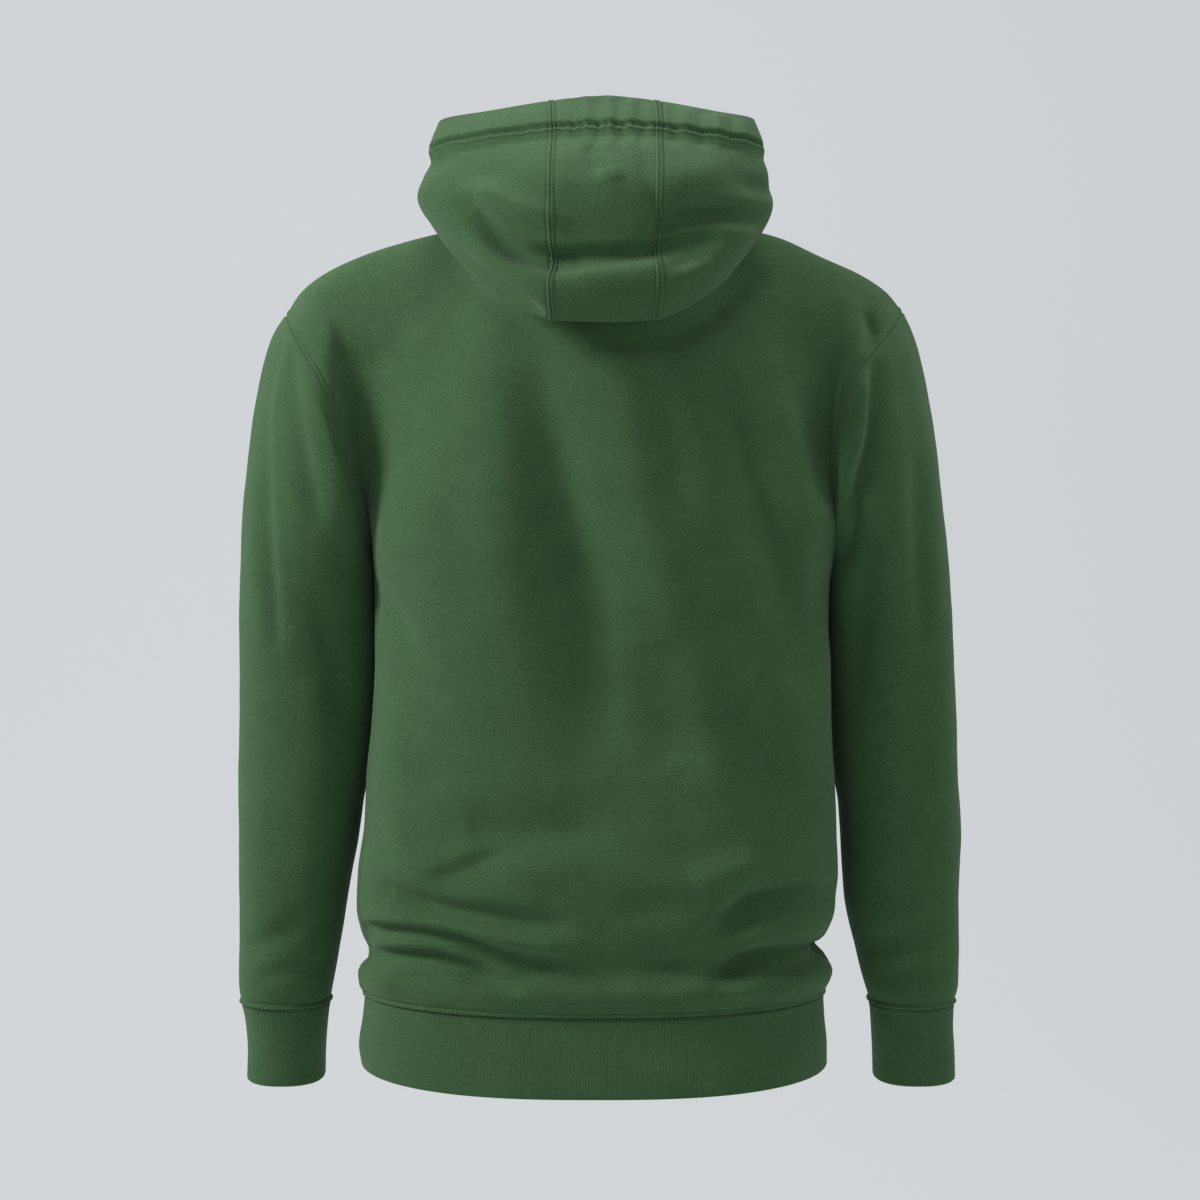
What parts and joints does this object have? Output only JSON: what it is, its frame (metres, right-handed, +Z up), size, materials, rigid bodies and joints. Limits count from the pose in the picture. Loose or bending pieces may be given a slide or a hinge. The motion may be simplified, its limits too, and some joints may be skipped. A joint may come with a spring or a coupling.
{
  "type": "pullover hoodie",
  "caption": "Long-sleeved pullover hoodie, filled out as worn and hollow, with rib cuffs and hem band and its hood lying down on the back.",
  "frame": {"origin": "between the shoulders at the base of the neck, where the wearer holds the garment up", "axes": "+Z up the body, -Y the garment's front, +Y its back with the hood, +X the wearer's left"},
  "size_m": [0.605, 0.285, 0.805],
  "materials": {
    "fleece": "matte brushed fleece, plain dark green",
    "rib": "matte fine knit, plain dark green"
  },
  "bodies": {
    "root": {"back": "fleece", "front": "fleece", "sleeve_left": "fleece", "sleeve_right": "fleece", "cuff_left": "rib", "cuff_right": "rib", "hem_band": "rib", "hood_left": "fleece", "hood_centre": "fleece", "hood_right": "fleece"}
  },
  "joints": []
}
